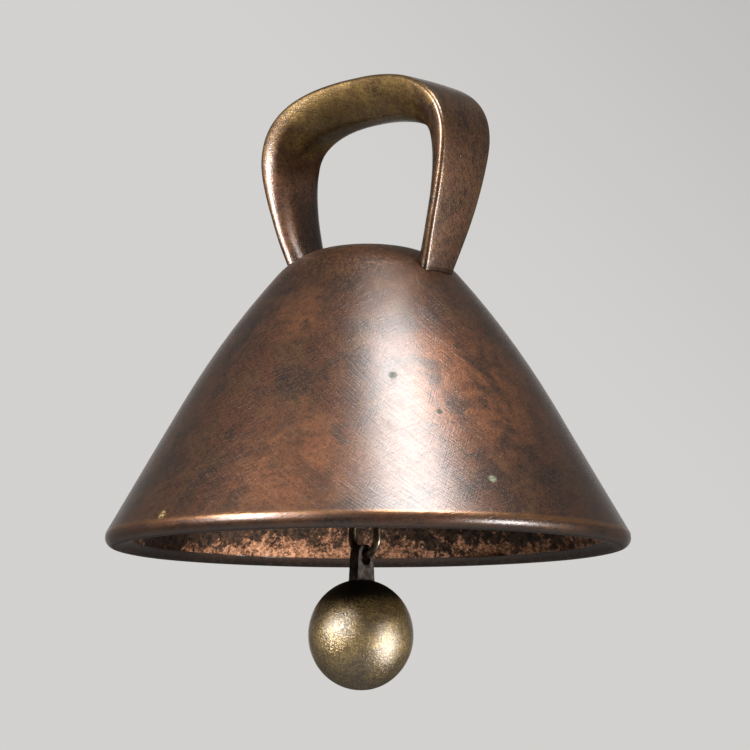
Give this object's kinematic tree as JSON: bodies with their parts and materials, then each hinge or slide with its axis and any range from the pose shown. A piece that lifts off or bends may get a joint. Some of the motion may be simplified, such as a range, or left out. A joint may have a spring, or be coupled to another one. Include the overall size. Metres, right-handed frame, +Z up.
{
  "type": "small hanging bell with ball clapper",
  "caption": "Cone-shaped cast bronze hand bell with an open D-section loop handle and a brass ball clapper hung on a wire chain.",
  "frame": {"origin": "on the bell's axis at the underside of the handle's top, where a hook or a finger holds the bell", "axes": "+Z up along the bell's axis, X along the span of the loop handle, Y through the handle's opening"},
  "size_m": [0.11, 0.11, 0.1295],
  "materials": {
    "shell_bronze": "brown patinated bronze, satin",
    "handle_bronze": "brown patinated bronze worn to olive gold",
    "ball_brass": "aged olive brass, satin",
    "wire_brass": "drawn brass wire, dulled",
    "tab_steel": "dark aged steel",
    "fastener_brass": "dull brass"
  },
  "bodies": {
    "bell": {"bell_shell": "shell_bronze", "handle": "handle_bronze", "handle_screw_left": "fastener_brass", "handle_screw_right": "fastener_brass", "handle_washer_left": "fastener_brass", "handle_washer_right": "fastener_brass", "crown_eye": "wire_brass", "eye_lock_nut": "fastener_brass"},
    "top_link": {"top_link": "wire_brass"},
    "hanger": {"hanger_wire": "wire_brass"},
    "clapper_link": {"clapper_link": "wire_brass"},
    "clapper": {"clapper_tab": "tab_steel", "clapper_ball": "ball_brass"}
  },
  "joints": [
    {"name": "eye_to_link", "type": "hinge", "parent": "bell", "child": "top_link", "pos_m": [-0.0018, 0, -0.0453], "axis": [0, 1, 0], "range_deg": [-20, 20]},
    {"name": "link_to_hanger", "type": "hinge", "parent": "top_link", "child": "hanger", "pos_m": [-0.0018, 0, -0.0523], "axis": [1, 0, 0], "range_deg": [-20, 20]},
    {"name": "hanger_to_link", "type": "hinge", "parent": "hanger", "child": "clapper_link", "pos_m": [-0.0018, 0, -0.0845], "axis": [0, 1, 0], "range_deg": [-25, 25]},
    {"name": "link_to_clapper", "type": "hinge", "parent": "clapper_link", "child": "clapper", "pos_m": [-0.0018, 0, -0.0917], "axis": [1, 0, 0], "range_deg": [-25, 25]}
  ]
}
